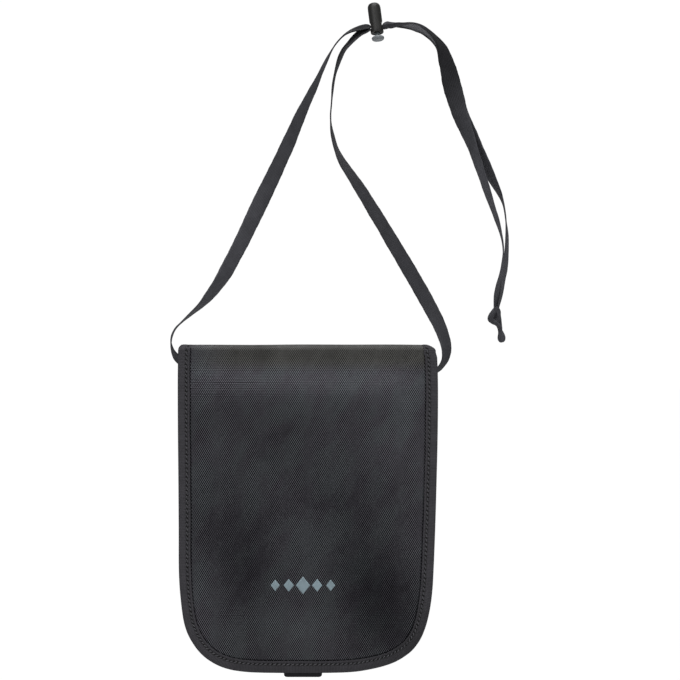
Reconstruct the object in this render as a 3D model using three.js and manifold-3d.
// Neck pouch for travel papers, modelled in millimetres, +Z up, front towards -Y, left towards -X.
// Origin: centre of the flat back face. The body hangs upright with its flap closed over the front.
// The neck strap rises from the two side seams to a cord lock; its tail hangs on the right.
import * as THREE from "three";
import { mergeVertices } from "three/addons/utils/BufferGeometryUtils.js";
import Module from "manifold-3d";

const wasm = await Module();
wasm.setup();
const { degToRad, lerp, smoothstep } = THREE.MathUtils;

// ---------------------------------------------------------------- driving dimensions
// Flap outline as [z, x]: down the left edge, then up the right edge.
const FLAP_OUTLINE = [
  [98, -80.3], [80, -80.5], [49, -80.4], [18, -80.1], [-13, -79.9], [-38, -79.8],
  [-50, -79.2], [-62.6, -77.9], [-70, -76.7], [-76, -74.9], [-81.2, -72.3], [-87.4, -67.9],
  [-91.5, -63.8], [-94.9, -58.8], [-97.3, -53.8], [-99.2, -47.4], [-100.4, -39.6], [-101, -30],
  [-101, 18], [-100.4, 27.2], [-99.2, 35.8], [-97.3, 45.2], [-94.9, 52.6], [-91.5, 58.2],
  [-87.4, 63.4], [-81.2, 68.4], [-75, 71.6], [-68.8, 73.6], [-60, 75.3], [-50, 76.7],
  [-38, 77.5], [-13, 78.5], [18, 79.5], [49, 80.3], [80, 80.3], [98, 78.9],
];
const BODY_INSET = 1.2; // the body is this much smaller than the flap all round
const SHEET_INSET = 0.8; // cloth edges stop this far inside the outside of their binding
const BINDING_WIDTH = 7.4;
const BINDING_T = 0.5;
const CLOTH_T = 0.7;
const FOLD = { y: -3, z: 98, radius: 3, left: -78.4, length: 155.4, steps: 12 };
const FOLD_CLEARANCE = 0.35; // between the fold and the flap around it

// Padding: a flat rim behind the binding, a soft rise to the middle, thinning towards the mouth.
const PADDING = { rimFlat: 8, rimSoft: 14, topSoft: 37, topEnd: 97 };
// The back sheets step between rim and middle depth here, and again near the top.
const RECESS = { rimStart: 10.5, rimSoft: 1.8, topStart: 90.5, topSoft: 4 };

const BACK_TOP = 98.4;
const LINING_TOP = 93.5;
const DIVIDER_TOP = 86;
const MOUTH_Z = 82;
const BODY_BINDING_TOP = 89;
const FLAP_LINING_TOP = 94.5;

const WEB_W = 10; // flat woven neck webbing
const WEB_T = 1;
const BUNCH_W = 3.6; // the webbing where it is bunched up in the cord lock
const BUNCH_T = 0.9;
const SEAM = { y: -3, z: 91, halfHeight: 4.7 }; // where both strap ends enter the side seams

const ZIP = {
  z: 50, opening: 4.5, // half height of the gap in the front panel
  tapeX: 56, tapeNear: 0.3, tapeFar: 8.6, // tape half length, and its edges off the centre line
  coilX: 52, coilY: -6.9, coilR: 0.55, coilOffset: 0.7,
  stopOffset: 1.4, sliderX: 46, sliderLength: 9,
};
const TAB = { left: -14.6, right: 9, low: -104.2, top: -94, front: -6.28, back: -5.9, corner: 1.6 };

// Lengths along the barrel axis are measured from the lock's origin, the button end negative.
const LOCK = {
  x: 42.8, y: 14, z: 300.4, tilt: degToRad(7.1), pitch: degToRad(18),
  radius: 4.05, bore: 2.9, top: 15.2, roof: 1.6, bottom: -5.6,
  holeHalfHeight: 2.6, holeWidth: 3.9, holeClearance: 0.15, cutX: 6,
};
const PLUNGER = {
  radius: 2.65, neck: 1.75, top: 2.8, windowTop: -0.2, windowLow: -4.6, foot: -5,
  buttonTop: -7.4, buttonLow: -9.6, buttonR: 3.9,
};
const SPRING = { radius: 1.9, wire: 0.22, turns: 5, stepsPerTurn: 10, sides: 5, endGap: 0.35 };

// Depth in y of the back and front face of each layer, as [at the rim, in the middle].
const LAYER = {
  backPanel: { back: [-0.95, 0], front: [-1.65, -0.7] },
  backLining: { back: [-1.85, -0.9], front: [-2.2, -1.25] },
  divider: { back: [-2.45, -5.5], front: [-2.82, -5.8] },
  zipTape: { back: [-2.88, -5.92], front: [-3.02, -6.18] },
  frontPanel: { back: [-3.15, -6.5], front: [-3.85, -7.1] },
  loopPatch: { back: [-3.98, -7.2], front: [-4.55, -8.4] },
  hookPatch: { back: [-4.8, -8.6], front: [-5.3, -9.65] },
  flapLining: { back: [-5.5, -9.9], front: [-5.82, -10.2] },
  flapShell: { back: [-6.4, -10.35], front: [-7.1, -11] },
};

const MATERIAL = {
  cloth: { color: 0x2f2e33, roughness: 0.9 },
  lining: { color: 0x26262a, roughness: 0.85 },
  binding: { color: 0x3c3b3f, roughness: 0.8 },
  webbing: { color: 0x424347, roughness: 0.85 },
  zipTape: { color: 0x2a2a2e, roughness: 0.8 },
  hookAndLoop: { color: 0x1d1d20, roughness: 0.95 },
  tab: { color: 0x1d1d20, roughness: 0.35 },
  coil: { color: 0x1f1f21, roughness: 0.4 },
  barrel: { color: 0x1f1f21, roughness: 0.3 },
  plunger: { color: 0x696e71, roughness: 0.35 },
  zipStop: { color: 0x55565a, roughness: 0.45, metalness: 0.7 },
  slider: { color: 0x55565a, roughness: 0.4, metalness: 0.8 },
  spring: { color: 0x55565a, roughness: 0.35, metalness: 0.9 },
};

// ---------------------------------------------------------------- geometry helpers
// Indexed closed surface, turned so that its faces point out.
function closed(points, triangles) {
  let volume = 0;
  for (const [a, b, c] of triangles) {
    const p = points[a], q = points[b], r = points[c];
    volume += p[0] * (q[1] * r[2] - q[2] * r[1])
      - p[1] * (q[0] * r[2] - q[2] * r[0])
      + p[2] * (q[0] * r[1] - q[1] * r[0]);
  }
  const outward = volume < 0 ? triangles.map(([a, b, c]) => [a, c, b]) : triangles;
  const geometry = new THREE.BufferGeometry();
  geometry.setAttribute("position", new THREE.Float32BufferAttribute(points.flat(), 3));
  geometry.setIndex(outward.flat());
  return geometry;
}

const vectors = (pairs) => pairs.map(([x, y]) => new THREE.Vector2(x, y));

// Triangles across a contour of [x, y] pairs, wound the way the contour runs.
function capFaces(pairs) {
  const contour = vectors(pairs);
  const turn = THREE.ShapeUtils.area(contour) > 0;
  return THREE.ShapeUtils.triangulateShape(contour, []).map(([a, b, c]) => {
    const p = contour[a], q = contour[b], r = contour[c];
    const cross = (q.x - p.x) * (r.y - p.y) - (q.y - p.y) * (r.x - p.x);
    return (cross > 0) === turn ? [a, b, c] : [a, c, b];
  });
}

// Triangles across a convex ring, all from its first point.
const fanFaces = (sides) => Array.from({ length: sides - 2 }, (_, i) => [0, i + 1, i + 2]);

// Skin over equal rings of points, closed at both ends by the cap triangles.
function loft(rings, cap) {
  const sides = rings[0].length, last = (rings.length - 1) * sides, triangles = [];
  for (let start = 0; start < last; start += sides)
    for (let k = 0; k < sides; k++) {
      const a = start + k, b = start + (k + 1) % sides;
      triangles.push([a, b, b + sides], [a, b + sides, a + sides]);
    }
  for (const [a, b, c] of cap) triangles.push([a, c, b], [last + a, last + b, last + c]);
  return closed(rings.flat(), triangles);
}

function keepPositions(geometry) {
  for (const key of Object.keys(geometry.attributes))
    if (key !== "position") geometry.deleteAttribute(key);
  return geometry;
}

function solid(geometry) {
  const merged = mergeVertices(keepPositions(geometry), 1e-4);
  return new wasm.Manifold(new wasm.Mesh({
    numProp: 3,
    vertProperties: new Float32Array(merged.attributes.position.array),
    triVerts: new Uint32Array(merged.index.array),
  }));
}

function surface(made) {
  const mesh = made.getMesh(), geometry = new THREE.BufferGeometry();
  geometry.setAttribute("position", new THREE.Float32BufferAttribute(mesh.vertProperties, 3));
  geometry.setIndex(new THREE.Uint32BufferAttribute(mesh.triVerts, 1));
  return geometry;
}

function block([x0, x1], [y0, y1], [z0, z1]) {
  return new THREE.BoxGeometry(x1 - x0, y1 - y0, z1 - z0)
    .translate((x0 + x1) / 2, (y0 + y1) / 2, (z0 + z1) / 2);
}

// Cylinder along X, centred on x = 0.
function rodX(radius, halfLength, y, z, sides) {
  return new THREE.CylinderGeometry(radius, radius, 2 * halfLength, sides)
    .rotateZ(Math.PI / 2).translate(0, y, z);
}

// Profile of [radius, z] pairs turned about the Z axis.
function lathe(profile, sides) {
  return new THREE.LatheGeometry(vectors(profile), sides).rotateX(Math.PI / 2);
}

function polygon(pairs) {
  const shape = new THREE.Shape(vectors(pairs));
  shape.closePath();
  return shape;
}

// Shape extruded with its own x, y and depth laid along the three given directions.
function extrudeAlong(shape, depth, ...axes) {
  const basis = new THREE.Matrix4().makeBasis(...axes.map((axis) => new THREE.Vector3(...axis)));
  return new THREE.ExtrudeGeometry(shape, { depth, bevelEnabled: false }).applyMatrix4(basis);
}

// Upright shape in x and z, extruded from y = 0 towards the front.
function plate(shape, depth, curveSegments) {
  return new THREE.ExtrudeGeometry(shape, { depth, bevelEnabled: false, curveSegments })
    .rotateX(Math.PI / 2);
}

// ---------------------------------------------------------------- outlines in the XZ plane
// An open path, left top -> bottom -> right top, moved inwards. Its Vector2s hold x and z.
function insetPath(path, distance) {
  return path.map((point, i) => {
    const before = path[Math.max(0, i - 1)], after = path[Math.min(path.length - 1, i + 1)];
    const along = after.clone().sub(before).normalize();
    return new THREE.Vector2(point.x - along.y * distance, point.y + along.x * distance);
  });
}

const FLAP_PATH = vectors(FLAP_OUTLINE.map(([z, x]) => [x, z]));
const BODY_PATH = insetPath(FLAP_PATH, BODY_INSET);
const FLAP_CLOTH = insetPath(FLAP_PATH, SHEET_INSET);
const BODY_CLOTH = insetPath(BODY_PATH, SHEET_INSET);

// Left and right edge of an outline at height z; above its top, the edges at the top.
function span(path, z) {
  const crossings = [];
  for (let i = 0; i + 1 < path.length; i++) {
    const a = path[i], b = path[i + 1];
    if ((a.y - z) * (b.y - z) <= 0 && a.y !== b.y)
      crossings.push(a.x + (b.x - a.x) * (z - a.y) / (b.y - a.y));
  }
  if (crossings.length < 2) return [path[0].x, path[path.length - 1].x];
  return [Math.min(...crossings), Math.max(...crossings)];
}

// Distance in from the side and bottom edges.
function rimDistance(path, x, z) {
  let best = Infinity;
  for (let i = 0; i + 1 < path.length; i++) {
    const a = path[i], b = path[i + 1], dx = b.x - a.x, dz = b.y - a.y;
    const share = ((x - a.x) * dx + (z - a.y) * dz) / (dx * dx + dz * dz);
    const t = Math.min(1, Math.max(0, share));
    best = Math.min(best, Math.hypot(x - a.x - t * dx, z - a.y - t * dz));
  }
  return best;
}

// Share of the middle depth in the padded layers: 0 on the rim and at the top, 1 in the middle.
function padding(path, x, z) {
  const { rimFlat, rimSoft, topSoft, topEnd } = PADDING;
  return smoothstep(rimDistance(path, x, z), rimFlat, rimFlat + rimSoft)
    * smoothstep(topEnd - z, 0, topSoft);
}

// The same share in the back sheets: 0 behind the binding, 1 in the middle and along the top.
function recess(path, x, z) {
  const { rimStart, rimSoft, topStart, topSoft } = RECESS;
  return Math.max(
    smoothstep(rimDistance(path, x, z), rimStart, rimStart + rimSoft),
    smoothstep(z, topStart, topStart + topSoft),
  );
}

// ---------------------------------------------------------------- sheets of cloth
// Columns at set distances in from both edges, drawn together where the sheet is narrow.
const FULL_SPACING_WIDTH = 90;
const edgeColumns = (insets) => (left, right) => {
  const squeeze = Math.min(1, (right - left) / FULL_SPACING_WIDTH);
  return [
    ...insets.map((inset) => left + inset * squeeze),
    (left + right) / 2,
    ...[...insets].reverse().map((inset) => right - inset * squeeze),
  ];
};
// Columns at set shares of the width.
const shareColumns = (shares) => (left, right) => shares.map((share) => lerp(left, right, share));

const PADDED_COLUMNS = edgeColumns([0, 8, 11.5, 15, 22, 42]);
const BACK_COLUMNS = edgeColumns([0, 7.4, 10.4, 12.6]);
const MOUTH_COLUMNS = edgeColumns([8, 11.5, 15, 22]);
const TAPE_COLUMNS = shareColumns([0, 0.07, 0.14, 0.5, 0.86, 0.93, 1]);
const PATCH_COLUMNS = shareColumns([0, 0.25, 0.5, 0.75, 1]);

// Heights of the rows of points, closer together where the outline or the padding curves.
const ROWS = [94.5, 90.5, 86, MOUTH_Z, 76, 68, 60, 0, -50, -68, -76, -82, -87, -91, -95];
function rowsFrom(top, path, lastRow) {
  const lowest = Math.min(...path.map((point) => point.y));
  return [top, ...ROWS.filter((z) => z < top - 1), lastRow, lowest + 0.05];
}
const bodyRows = (top) => rowsFrom(top, BODY_CLOTH, -97.5);
const flapRows = (top) => rowsFrom(top, FLAP_CLOTH, -98);

// Rows of points across an outline: a back face, a front face and the edge between them.
function sheet({
  path = BODY_CLOTH, rows, layer, columns = PADDED_COLUMNS, weight = padding,
  left = -Infinity, right = Infinity,
}) {
  const rowXs = rows.map((z) => {
    const [edgeLeft, edgeRight] = span(path, z);
    return columns(Math.max(edgeLeft, left), Math.min(edgeRight, right));
  });
  const points = [layer.back, layer.front].flatMap(([rim, middle]) => rows.flatMap((z, r) =>
    rowXs[r].map((x) => [x, lerp(rim, middle, weight(path, x, z)), z])));
  const nx = rowXs[0].length, nz = rows.length, triangles = [];
  const id = (face, r, c) => (face * nz + r) * nx + c;
  const quad = (a, b, c, d) => triangles.push([a, b, c], [a, c, d]);
  for (let r = 0; r + 1 < nz; r++)
    for (let c = 0; c + 1 < nx; c++) {
      quad(id(0, r, c), id(0, r, c + 1), id(0, r + 1, c + 1), id(0, r + 1, c));
      quad(id(1, r, c), id(1, r + 1, c), id(1, r + 1, c + 1), id(1, r, c + 1));
    }
  const endRow = nz - 1, endColumn = nx - 1;
  for (let c = 0; c < endColumn; c++) {
    quad(id(0, 0, c), id(1, 0, c), id(1, 0, c + 1), id(0, 0, c + 1));
    quad(id(0, endRow, c), id(0, endRow, c + 1), id(1, endRow, c + 1), id(1, endRow, c));
  }
  for (let r = 0; r < endRow; r++) {
    quad(id(0, r, 0), id(0, r + 1, 0), id(1, r + 1, 0), id(1, r, 0));
    quad(id(0, r, endColumn), id(1, r, endColumn), id(1, r + 1, endColumn),
      id(0, r + 1, endColumn));
  }
  return closed(points, triangles);
}

// U-shaped woven binding swept along an outline, open side inwards.
function binding(path, front, back) {
  const section = [ // [inset, y]
    [0, front], [BINDING_WIDTH, front],
    [BINDING_WIDTH, front + BINDING_T], [BINDING_T, front + BINDING_T],
    [BINDING_T, back - BINDING_T], [BINDING_WIDTH, back - BINDING_T],
    [BINDING_WIDTH, back], [0, back],
  ];
  const paths = section.map(([inset]) => insetPath(path, inset));
  const rings = path.map((_, i) =>
    section.map(([, y], k) => [paths[k][i].x, y, paths[k][i].y]));
  return loft(rings, capFaces(section));
}

// ---------------------------------------------------------------- body
// The shell cloth runs up the back and folds forward over the top.
function backPanel() {
  const arc = (radius) => Array.from({ length: FOLD.steps + 1 }, (_, i) => {
    const angle = Math.PI * i / FOLD.steps;
    return [radius * Math.cos(angle), radius * Math.sin(angle)];
  });
  const section = polygon([...arc(FOLD.radius), ...arc(FOLD.radius - CLOTH_T).reverse()]);
  const fold = extrudeAlong(section, FOLD.length, [0, 1, 0], [0, 0, 1], [1, 0, 0])
    .translate(FOLD.left, FOLD.y, FOLD.z);
  const back = sheet({
    rows: bodyRows(BACK_TOP), layer: LAYER.backPanel, columns: BACK_COLUMNS, weight: recess,
  });
  return surface(solid(back).add(solid(fold)));
}

function backLining() {
  return sheet({
    rows: bodyRows(LINING_TOP), layer: LAYER.backLining, columns: BACK_COLUMNS, weight: recess,
  });
}

function frontPanelUpper() {
  return sheet({ rows: [MOUTH_Z, 76, 68, 60, ZIP.z + ZIP.opening], layer: LAYER.frontPanel });
}

// Woven tape folded over the top edge of the front panel.
function mouthBinding() {
  const tapeT = 0.35, frontGap = 0.25, backGap = 0.1;
  const low = MOUTH_Z - 4, under = MOUTH_Z + 0.15, top = MOUTH_Z + 0.6;
  const rings = MOUTH_COLUMNS(...span(BODY_CLOTH, MOUTH_Z)).map((x) => {
    const faceY = (face, z) => lerp(...face, padding(BODY_CLOTH, x, z));
    const frontLow = faceY(LAYER.frontPanel.front, low) - frontGap;
    const frontTop = faceY(LAYER.frontPanel.front, MOUTH_Z) - frontGap;
    const back = faceY(LAYER.frontPanel.back, MOUTH_Z) + backGap;
    return [
      [x, frontLow - tapeT, low], [x, frontTop - tapeT, top], [x, back, top],
      [x, back, under], [x, frontTop, under], [x, frontLow, low],
    ];
  });
  return loft(rings, capFaces(rings[0].map(([, y, z]) => [y, z])));
}

// Edge binding, slotted at both top ends for the strap.
function bodyBinding() {
  const [left, right] = span(BODY_PATH, BODY_BINDING_TOP);
  const path = [
    new THREE.Vector2(left, BODY_BINDING_TOP),
    ...BODY_PATH.filter((point) => point.y < BODY_BINDING_TOP),
    new THREE.Vector2(right, BODY_BINDING_TOP),
  ];
  let made = solid(binding(path, -4.5, -0.25));
  const slotZ = [SEAM.z - WEB_W / 2 - 0.3, SEAM.z + WEB_W];
  for (const slotX of [[-90, -66], [66, 90]])
    made = made.subtract(solid(block(slotX, [-3.75, -2.1], slotZ)));
  return surface(made);
}

function strapAnchor(left, right) {
  return block([left, right], [SEAM.y - WEB_T / 2, SEAM.y + WEB_T / 2],
    [SEAM.z - SEAM.halfHeight, SEAM.z + SEAM.halfHeight]);
}

// ---------------------------------------------------------------- zip across the front
function zipTape(top, low) {
  return sheet({
    rows: [top, low], layer: LAYER.zipTape, columns: TAPE_COLUMNS,
    left: -ZIP.tapeX, right: ZIP.tapeX,
  });
}

const zipCoil = (z) => rodX(ZIP.coilR, ZIP.coilX, ZIP.coilY, z, 8);

function zipStop(x) {
  return block([x - 1.1, x + 1.1], [-7.6, -6.4], [ZIP.z - 1.8, ZIP.z + 1.8]);
}

// Channel-shaped shell, open towards the back, with a headed stud on its front.
function zipSlider() {
  const section = polygon([ // [z from the zip, y]
    [-3.4, -8.2], [3.4, -8.2], [3.4, -6.45], [2.2, -6.45],
    [2.2, -7.6], [-2.2, -7.6], [-2.2, -6.45], [-3.4, -6.45],
  ]);
  const shell = extrudeAlong(section, ZIP.sliderLength, [0, 0, 1], [0, 1, 0], [-1, 0, 0])
    .translate(ZIP.sliderX + ZIP.sliderLength / 2, 0, ZIP.z);
  const disc = (radius, height, y) =>
    new THREE.CylinderGeometry(radius, radius, height, 16).translate(ZIP.sliderX, y, ZIP.z);
  const stud = disc(1.1, 1.4, -8.8);
  const head = disc(1.45, 0.3, -9.45);
  return surface(solid(shell).add(solid(stud)).add(solid(head)));
}

// Round-ended pull hanging from the stud by its eye.
function zipPull() {
  const topR = 2.6, lowR = 2.3, length = 16;
  const shape = new THREE.Shape();
  shape.moveTo(-topR, 0);
  shape.absarc(0, 0, topR, Math.PI, 0, true);
  shape.lineTo(lowR, -length);
  shape.absarc(0, -length, lowR, 0, -Math.PI, true);
  shape.closePath();
  const eye = new THREE.Path();
  eye.absarc(0, 0, 1.35, 0, Math.PI * 2, false);
  shape.holes.push(eye);
  return plate(shape, 0.75, 8).translate(ZIP.sliderX, -8.4, ZIP.z);
}

function loopPatch() {
  return sheet({
    rows: [-68, -76, -82, -87, -91.6], layer: LAYER.loopPatch, columns: PATCH_COLUMNS,
    left: -21, right: 27,
  });
}

// ---------------------------------------------------------------- flap
const foldRod = () =>
  solid(rodX(FOLD.radius + FOLD_CLEARANCE, 90, FOLD.y, FOLD.z, 32));

function flapShell() {
  const shell = sheet({ path: FLAP_CLOTH, rows: flapRows(FOLD.z), layer: LAYER.flapShell });
  return surface(solid(shell).subtract(foldRod()));
}

// Edge binding, cut clear of the fold and slotted at the bottom for the pull tab.
function flapBinding() {
  const slot = block([TAB.left - 0.3, TAB.right + 0.3], [-6.36, -5.84], [-103, -96]);
  return surface(solid(binding(FLAP_PATH, -7.75, -4.9)).subtract(foldRod()).subtract(solid(slot)));
}

function pullTab() {
  const { left, right, low, top, front, back, corner } = TAB;
  const shape = new THREE.Shape();
  shape.moveTo(left, top);
  shape.lineTo(left, low + corner);
  shape.absarc(left + corner, low + corner, corner, Math.PI, Math.PI * 1.5, false);
  shape.lineTo(right - corner, low);
  shape.absarc(right - corner, low + corner, corner, Math.PI * 1.5, Math.PI * 2, false);
  shape.lineTo(right, top);
  shape.closePath();
  return plate(shape, back - front, 4).translate(0, back, 0);
}

function hookPatch() {
  return sheet({
    path: FLAP_CLOTH, rows: [-68, -76, -82, -87, -91, -92.4], layer: LAYER.hookPatch,
    columns: PATCH_COLUMNS, left: -19, right: 26,
  });
}

// ---------------------------------------------------------------- neck strap and tail
// Flat webbing through stations of [x, z, y, twist in degrees, width, thickness].
// Twist 0 faces the front; width and thickness may be left out for plain webbing.
function webbing(stations, steps) {
  const centres = stations.map(([x, z, y]) => new THREE.Vector3(x, y, z));
  const curve = new THREE.CatmullRomCurve3(centres, false, "centripetal");
  const sections = stations.map(([, , , twist, width = WEB_W, thickness = WEB_T]) =>
    [degToRad(twist), width / 2, thickness / 2]);
  const count = stations.length - 1, rings = [];
  for (let i = 0; i <= steps; i++) {
    const u = i / steps, k = Math.min(count - 1, Math.floor(u * count));
    const [twist, halfW, halfT] =
      sections[k].map((value, n) => lerp(value, sections[k + 1][n], u * count - k));
    const centre = curve.getPoint(u), along = curve.getTangent(u);
    const side = new THREE.Vector3(along.z, 0, -along.x).normalize();
    const deep = new THREE.Vector3().crossVectors(side, along).normalize();
    const across = side.multiplyScalar(Math.cos(twist)).addScaledVector(deep, Math.sin(twist));
    const normal = new THREE.Vector3().crossVectors(across, along).normalize();
    rings.push([[-1, -1], [1, -1], [1, 1], [-1, 1]].map(([s, t]) => centre.clone()
      .addScaledVector(across, s * halfW).addScaledVector(normal, t * halfT).toArray()));
  }
  return loft(rings, fanFaces(4));
}

// Station position [x, z, y] by distance along the strap and along the barrel from the lock.
function onLock(along, axial, back = 0) {
  const { x, y, z, tilt, pitch } = LOCK, rise = axial * Math.cos(pitch);
  return [
    x + along * Math.cos(tilt) - rise * Math.sin(tilt),
    z + along * Math.sin(tilt) + rise * Math.cos(tilt),
    y + axial * Math.sin(pitch) + back,
  ];
}

const LOWER = -1.95; // places of the two webbings along the barrel
const UPPER = -0.76;
const TAIL_START = 6.6; // from the lock axis, along the strap
const throughLock = (axial, twist) =>
  [-10.3, -5, 4.4].map((along) => [...onLock(along, axial), twist, BUNCH_W, BUNCH_T]);
const midY = LOCK.y;

const STRAP_LEFT = [
  [-81.4, 91, -3, 80, 7.4], [-83, 92.6, -2.6, 84, 8.6], [-84.5, 97.5, -1.2, 88],
  [-84.9, 104, 2.8, 92], [-83.6, 110.5, 7.2, 103], [-79.5, 116.5, 10.2, 112],
  [-71, 125.5, 12.4, 126], [-64.6, 133.2, 13.4, 140], [-55.2, 144.5, midY, 158],
  [-46.4, 159.5, midY, 168], [-35.2, 182, midY, 174], [-25.2, 202.5, midY, 190],
  [-16.4, 222.5, midY, 208], [-4.7, 247.5, midY, 232], [4, 263.3, midY, 246],
  [12.8, 276, midY, 258], [17.6, 286.6, midY, 265, 8.6],
  [21.4, 293, midY, 269, 6.6, BUNCH_T], [26.2, 296.9, midY, 270, 4.6, BUNCH_T],
  ...throughLock(UPPER, 288),
];
const STRAP_RIGHT = [
  [81.6, 91, -3, -80, 7.4], [83.4, 92.4, -2.6, -76, 8.6], [85.4, 96.5, -1.2, -66],
  [86, 102, 2.8, -54], [83.4, 109, 7.2, -42], [79.6, 117.5, 10.2, -35],
  [75.5, 126, 12.4, -30], [67.7, 139, midY, -28], [57.2, 155.2, midY, -30],
  [45.4, 174.5, midY, -36], [34.4, 192.8, midY, -45], [25.2, 206.5, midY, -56],
  [17.6, 220, midY, -70], [14.5, 232, midY, -84], [13.9, 244, midY, -90],
  [14.9, 258.5, midY, -96], [17.6, 273, midY, -104, 9.6], [22.4, 285, midY, -106, 8.2],
  [28, 292.6, midY, -98, 5.2, BUNCH_T],
  ...throughLock(LOWER, -72),
];
const TAIL_INNER = [
  [...onLock(TAIL_START, LOWER), -72, BUNCH_W, BUNCH_T],
  [...onLock(12, LOWER - 0.2, -0.4), -76, 4.4, BUNCH_T],
  [63.5, 299.4, midY - 1, -74, 6], [71.5, 295.4, midY - 1.6, -60, 7.6],
  [78.2, 288.4, midY - 2.5, -44, 8.6], [83, 280.5, midY - 2.5, -34, 9.4],
  [87.3, 268, midY - 2.5, -28], [91.4, 250, midY - 2.5, -24], [97, 231, midY - 2.5, -24],
  [104.4, 211.5, midY - 1.6, -34], [110.5, 197, midY - 1.4, -56],
  [114, 186.5, midY - 1.4, -66], [117, 177.5, midY - 1.2, -76],
  [119.4, 168.5, midY - 1, -86, 9.6], [120.6, 160.5, midY - 0.6, -90, 8],
  [121.3, 152, midY - 0.4, -90, 6.6], [119.4, 142, midY, -90, 5.6],
  [117.2, 133, midY, -90, 4.4], [116.6, 127.4, midY, -90, 3.6],
];
const TAIL_OUTER = [
  [...onLock(TAIL_START, UPPER), 108, BUNCH_W, BUNCH_T],
  [...onLock(12, UPPER + 0.2, 0.4), 104, 4.4, BUNCH_T],
  [64, 301.4, midY + 1.2, 104, 6], [73.6, 297.6, midY + 2.2, 118, 7.6],
  [81.4, 290.8, midY + 3, 134, 8.6], [87.4, 281.5, midY + 3.4, 146, 9.4],
  [91.4, 268.5, midY + 3.4, 152], [94.8, 250, midY + 3.4, 156], [100.8, 231, midY + 3.4, 154],
  [109.2, 211.5, midY + 2.4, 142], [116.2, 197, midY + 1.8, 120],
  [119.6, 191, midY + 1.6, 106], [121.9, 182, midY + 1.4, 92],
  [123, 172.5, midY + 1.2, 90, 9.6], [123.4, 162, midY + 0.8, 90, 8],
  [122.8, 152, midY + 0.4, 90, 6.6], [120.9, 142, midY, 90, 5.6],
  [118.7, 133, midY, 90, 4.4], [118, 127.4, midY, 90, 3.6],
];

// Lumps of the knot, from the top down: centre [x, y, z], radii [x, y, z], turn about Y.
const KNOT_LUMPS = [
  [[117, midY, 121.6], [3.6, 4.6, 4.6], -0.2],
  [[116, midY - 0.5, 116.6], [4.9, 4.8, 4.4], -0.45],
  [[119.6, midY + 0.4, 113.6], [3.6, 3.8, 4], 0.3],
  [[120.9, midY, 107.2], [2.7, 2.6, 4.2], -0.08],
];
function strapKnot() {
  const lumps = KNOT_LUMPS.map(([centre, radii, turn]) => solid(
    new THREE.SphereGeometry(1, 12, 8).scale(...radii).rotateY(turn).translate(...centre)));
  return surface(lumps.reduce((knot, lump) => knot.add(lump)));
}

// ---------------------------------------------------------------- cord lock, barrel along Z
// Opening across the lock, along X, for the webbing.
function crossHole(width, low, top) {
  return solid(block([-LOCK.cutX, LOCK.cutX], [-width / 2, width / 2], [low, top]));
}

function lockBarrel() {
  const { radius, bore, top, roof, bottom, holeHalfHeight, holeWidth, holeClearance } = LOCK;
  const profile = [
    [0, top - roof], [bore, top - roof], [bore, bottom], [radius - 0.25, bottom],
    [radius, bottom + 0.4], [radius, top - 2.6], [radius - 0.3, top - 1.4],
    [radius - 1.1, top - 0.5], [radius - 2.3, top - 0.05], [0, top],
  ];
  return surface(solid(lathe(profile, 28))
    .subtract(crossHole(holeWidth + 2 * holeClearance, -holeHalfHeight, holeHalfHeight)));
}

function lockPlunger() {
  const { radius, neck, top, windowTop, windowLow, foot, buttonTop, buttonLow, buttonR } = PLUNGER;
  const profile = [
    [0, buttonLow], [buttonR - 1.2, buttonLow + 0.1], [buttonR - 0.2, buttonLow + 0.6],
    [buttonR, buttonLow + 1.1], [buttonR - 0.1, buttonTop - 0.2], [buttonR - 0.5, buttonTop],
    [neck, buttonTop], [neck, foot - 0.35], [radius, foot], [radius, top - 0.3],
    [radius - 0.3, top], [0, top],
  ];
  return surface(solid(lathe(profile, 24))
    .subtract(crossHole(LOCK.holeWidth, windowLow, windowTop)));
}

// Coil between the plunger and the roof of the bore.
function lockSpring() {
  const { radius, wire, turns, stepsPerTurn, sides, endGap } = SPRING;
  const low = PLUNGER.top + endGap, high = LOCK.top - LOCK.roof - endGap;
  const steps = turns * stepsPerTurn, rings = [];
  for (let i = 0; i <= steps; i++) {
    const angle = 2 * Math.PI * i / stepsPerTurn, z = lerp(low, high, i / steps);
    rings.push(Array.from({ length: sides }, (_, k) => {
      const around = 2 * Math.PI * k / sides, reach = radius + wire * Math.cos(around);
      return [reach * Math.cos(angle), reach * Math.sin(angle), z + wire * Math.sin(around)];
    }));
  }
  return loft(rings, fanFaces(sides));
}

// ---------------------------------------------------------------- assembly
function add(parent, name, geometry, material) {
  keepPositions(geometry).computeVertexNormals();
  const mesh = new THREE.Mesh(geometry, new THREE.MeshStandardMaterial(material));
  mesh.name = name;
  parent.add(mesh);
}

function addGroup(parent) {
  const group = new THREE.Group();
  parent.add(group);
  return group;
}

const pouch = new THREE.Group();
const dividerPanel = sheet({ rows: bodyRows(DIVIDER_TOP), layer: LAYER.divider });
const frontLower = sheet({ rows: bodyRows(ZIP.z - ZIP.opening), layer: LAYER.frontPanel });
add(pouch, "back_panel", backPanel(), MATERIAL.cloth);
add(pouch, "back_lining", backLining(), MATERIAL.lining);
add(pouch, "divider_panel", dividerPanel, MATERIAL.lining);
add(pouch, "front_panel_lower", frontLower, MATERIAL.cloth);
add(pouch, "front_panel_upper", frontPanelUpper(), MATERIAL.cloth);
add(pouch, "mouth_binding", mouthBinding(), MATERIAL.binding);
add(pouch, "body_binding", bodyBinding(), MATERIAL.binding);
add(pouch, "strap_anchor_left", strapAnchor(-80.2, -68), MATERIAL.webbing);
add(pouch, "strap_anchor_right", strapAnchor(67.5, 80), MATERIAL.webbing);

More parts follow.
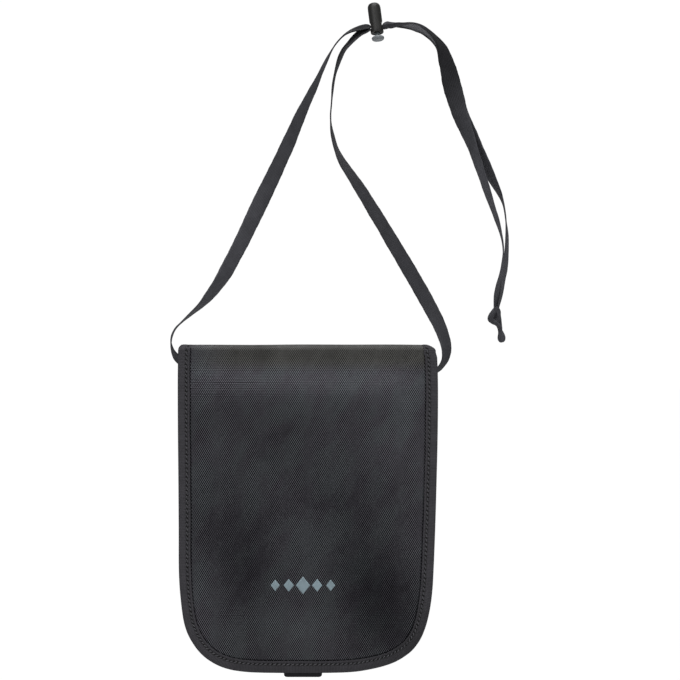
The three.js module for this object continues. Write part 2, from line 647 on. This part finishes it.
const upperTape = zipTape(ZIP.z + ZIP.tapeFar, ZIP.z + ZIP.tapeNear);
const lowerTape = zipTape(ZIP.z - ZIP.tapeNear, ZIP.z - ZIP.tapeFar);
const stopX = ZIP.coilX + ZIP.stopOffset;
add(pouch, "zip_tape_upper", upperTape, MATERIAL.zipTape);
add(pouch, "zip_tape_lower", lowerTape, MATERIAL.zipTape);
add(pouch, "zip_coil_upper", zipCoil(ZIP.z + ZIP.coilOffset), MATERIAL.coil);
add(pouch, "zip_coil_lower", zipCoil(ZIP.z - ZIP.coilOffset), MATERIAL.coil);
add(pouch, "zip_stop_left", zipStop(-stopX), MATERIAL.zipStop);
add(pouch, "zip_stop_right", zipStop(stopX), MATERIAL.zipStop);
add(pouch, "zip_slider", zipSlider(), MATERIAL.slider);
add(pouch, "zip_pull", zipPull(), MATERIAL.slider);
add(pouch, "loop_patch", loopPatch(), MATERIAL.hookAndLoop);

const flap = addGroup(pouch);
const flapLining = sheet({
  path: FLAP_CLOTH, rows: flapRows(FLAP_LINING_TOP), layer: LAYER.flapLining,
});
add(flap, "flap_shell", flapShell(), MATERIAL.cloth);
add(flap, "flap_lining", flapLining, MATERIAL.lining);
add(flap, "flap_binding", flapBinding(), MATERIAL.binding);
add(flap, "pull_tab", pullTab(), MATERIAL.tab);
add(flap, "hook_patch", hookPatch(), MATERIAL.hookAndLoop);

const strap = addGroup(pouch);
add(strap, "strap_left", webbing(STRAP_LEFT, 34), MATERIAL.webbing);
add(strap, "strap_right", webbing(STRAP_RIGHT, 34), MATERIAL.webbing);

const lock = addGroup(strap);
lock.position.set(LOCK.x, LOCK.y, LOCK.z);
lock.rotation.set(-LOCK.pitch, -LOCK.tilt, 0, "YXZ"); // the button end stands towards the front
add(lock, "lock_barrel", lockBarrel(), MATERIAL.barrel);
add(lock, "lock_plunger", lockPlunger(), MATERIAL.plunger);
add(lock, "lock_spring", lockSpring(), MATERIAL.spring);

const tail = addGroup(strap);
add(tail, "tail_inner", webbing(TAIL_INNER, 30), MATERIAL.webbing);
add(tail, "tail_outer", webbing(TAIL_OUTER, 30), MATERIAL.webbing);
add(tail, "strap_knot", strapKnot(), MATERIAL.webbing);

export default pouch;
